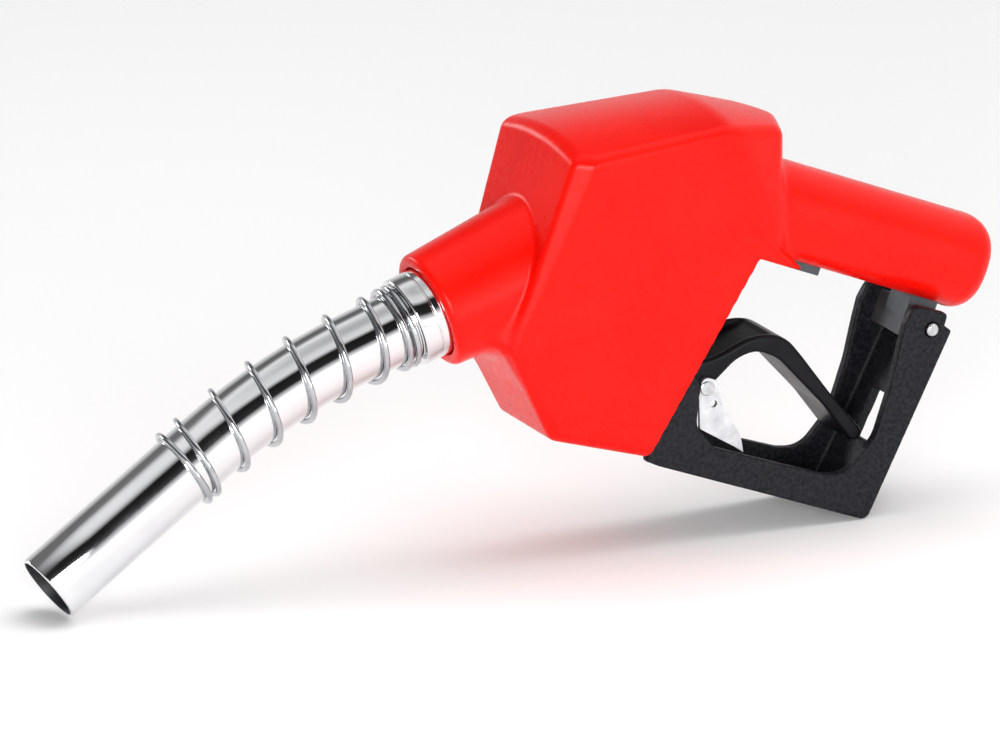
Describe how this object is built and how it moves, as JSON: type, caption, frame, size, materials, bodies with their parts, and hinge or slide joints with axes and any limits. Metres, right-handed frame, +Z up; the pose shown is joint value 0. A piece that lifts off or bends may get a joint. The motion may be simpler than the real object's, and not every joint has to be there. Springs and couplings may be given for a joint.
{
  "type": "automatic fuel nozzle",
  "caption": "Automatic shut-off fuel nozzle: red vinyl-covered body and handle, bent bright spout with wire spring, squeeze lever with hold-open clip and black lever guard.",
  "frame": {"origin": "bottom centre of the whole box, on the plane that the spout tip and the guard's heel rest on", "axes": "+X from the spout towards the hose inlet, +Y to the nozzle's left seen from the inlet, +Z up with the nozzle at rest on spout tip and guard heel"},
  "size_m": [0.3484, 0.0624, 0.1465],
  "materials": {
    "red_vinyl": "glossy vinyl skin",
    "cast_aluminium": "plain casting",
    "polished_tube": "polished bright",
    "bright_wire": "bright spring wire",
    "black_guard": "fine grained",
    "black_lever": "satin",
    "zinc_plate": "zinc plated",
    "steel": "machined",
    "brass": "machined",
    "rubber": "moulded",
    "nylon": "moulded"
  },
  "bodies": {
    "body": {"body_casting": "cast_aluminium", "body_cover": "red_vinyl", "poppet_spring": "bright_wire", "poppet_cap": "brass", "poppet_cap_ring": "rubber", "packing_nut": "brass", "stem_packing": "rubber", "plunger_gland": "brass", "plunger_spring": "bright_wire", "latch_ring": "steel", "diaphragm": "rubber", "diaphragm_cap": "cast_aluminium", "diaphragm_screw_1": "steel", "diaphragm_screw_2": "steel", "diaphragm_screw_3": "steel", "diaphragm_screw_4": "steel", "diaphragm_spring": "bright_wire", "spout_adaptor": "polished_tube", "spout_set_screw": "steel", "adaptor_ring": "rubber", "check_seat": "brass", "check_spring": "bright_wire", "spout_tube": "polished_tube", "vent_tube": "brass", "ball_cage": "nylon", "spout_spring": "bright_wire", "lever_guard": "black_guard", "guard_rear_pin": "steel", "guard_screw_near": "steel", "guard_screw_far": "steel", "inlet_screen": "brass"},
    "plunger": {"trip_plunger": "steel", "lever_pivot_pin": "steel", "latch_ball_1": "steel", "latch_ball_2": "steel", "latch_ball_3": "steel"},
    "lever": {"lever": "black_lever", "clip_rivet": "steel", "clip_spring": "bright_wire"},
    "valve": {"main_poppet": "brass", "poppet_seal": "rubber", "valve_stem": "steel"},
    "clip": {"hold_open_clip": "zinc_plate"},
    "check_valve": {"check_poppet": "nylon"},
    "ball": {"attitude_ball": "steel"},
    "latch": {"latch_pin": "steel"}
  },
  "joints": [
    {"name": "trip_slide", "type": "slide", "parent": "body", "child": "plunger", "axis": [-0.3691, 0, -0.9294], "range_m": [0, 0.0065], "stiffness_N_per_m": 400, "springref_m": -0.006, "deforming": ["plunger_spring"]},
    {"name": "lever_hinge", "type": "hinge", "parent": "plunger", "child": "lever", "pos_m": [0.01397, 0, 0.06175], "axis": [0, -1, 0], "range_deg": [0, 15], "stiffness_Nm_per_rad": 1, "springref_deg": -6.88},
    {"name": "poppet_lift", "type": "slide", "parent": "body", "child": "valve", "axis": [0.3691, 0, 0.9294], "range_m": [0, 0.009], "deforming": ["poppet_spring"]},
    {"name": "clip_hinge", "type": "hinge", "parent": "lever", "child": "clip", "pos_m": [0.0658, -0.01315, 0.05138], "axis": [0, -1, 0], "range_deg": [0, 40], "stiffness_Nm_per_rad": 0.01, "springref_deg": -17.19},
    {"name": "check_slide", "type": "slide", "parent": "body", "child": "check_valve", "axis": [-0.947, 0, -0.3213], "range_m": [0, 0.003], "stiffness_N_per_m": 150, "springref_m": -0.004, "deforming": ["check_spring"]},
    {"name": "ball_roll", "type": "slide", "parent": "body", "child": "ball", "axis": [0.947, 0, 0.3213], "range_m": [0, 0.004]},
    {"name": "latch_slide", "type": "slide", "parent": "body", "child": "latch", "axis": [0.3691, 0, 0.9294], "range_m": [0, 0.0015], "stiffness_N_per_m": 60, "springref_m": -0.003}
  ],
  "couplings": [
    {"joint": "poppet_lift", "follows": "lever_hinge", "m_per_rad": 0.0335}
  ]
}
